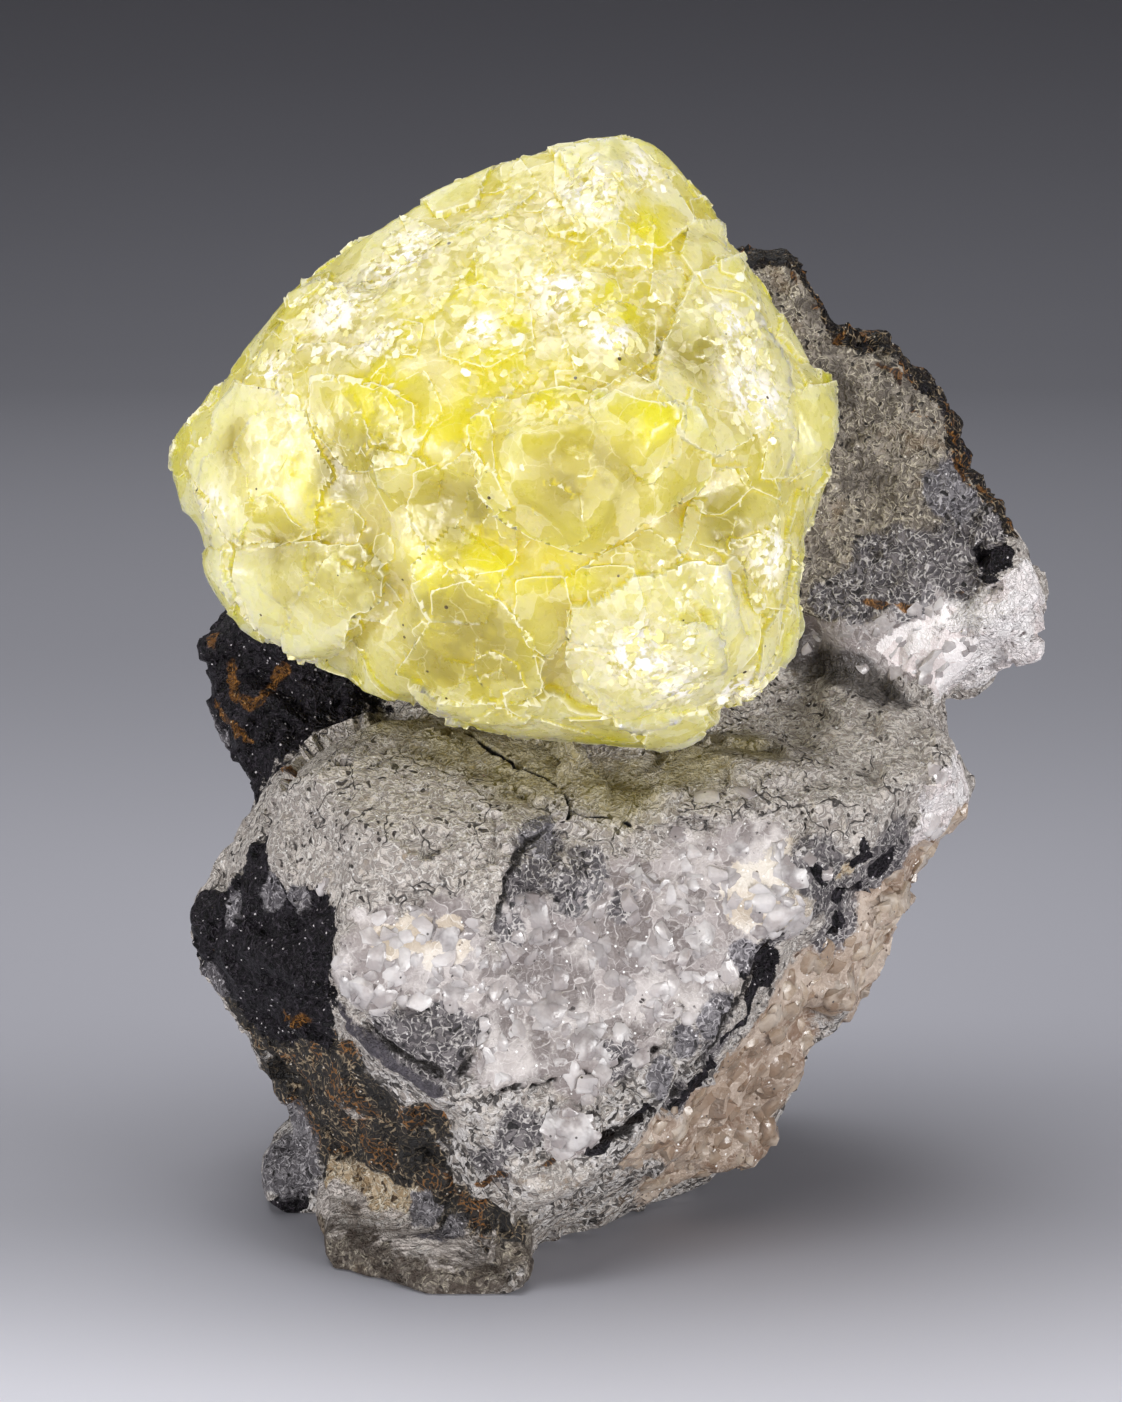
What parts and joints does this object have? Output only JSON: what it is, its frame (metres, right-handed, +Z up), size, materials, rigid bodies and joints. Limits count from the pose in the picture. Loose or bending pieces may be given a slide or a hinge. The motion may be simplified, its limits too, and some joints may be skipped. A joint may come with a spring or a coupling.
{
  "type": "mineral specimen",
  "caption": "Rounded yellow brucite botryoid of overlapping plates, seated on the ledge of a broken grey and dark block of host rock that stands on its flat base.",
  "frame": {"origin": "middle of the bounding box on the plane that the specimen stands on", "axes": "+Z up, +X to the specimen's right as seen from its front, +Y towards its back"},
  "size_m": [0.0758, 0.0534, 0.0926],
  "materials": {
    "host_rock": "rough fractured serpentine rock, grey-white with calcite grains, black and rust-brown patches",
    "brucite": "waxy to pearly, translucent lemon yellow with pale plate edges"
  },
  "bodies": {
    "root": {"matrix": "host_rock", "brucite": "brucite"}
  },
  "joints": []
}
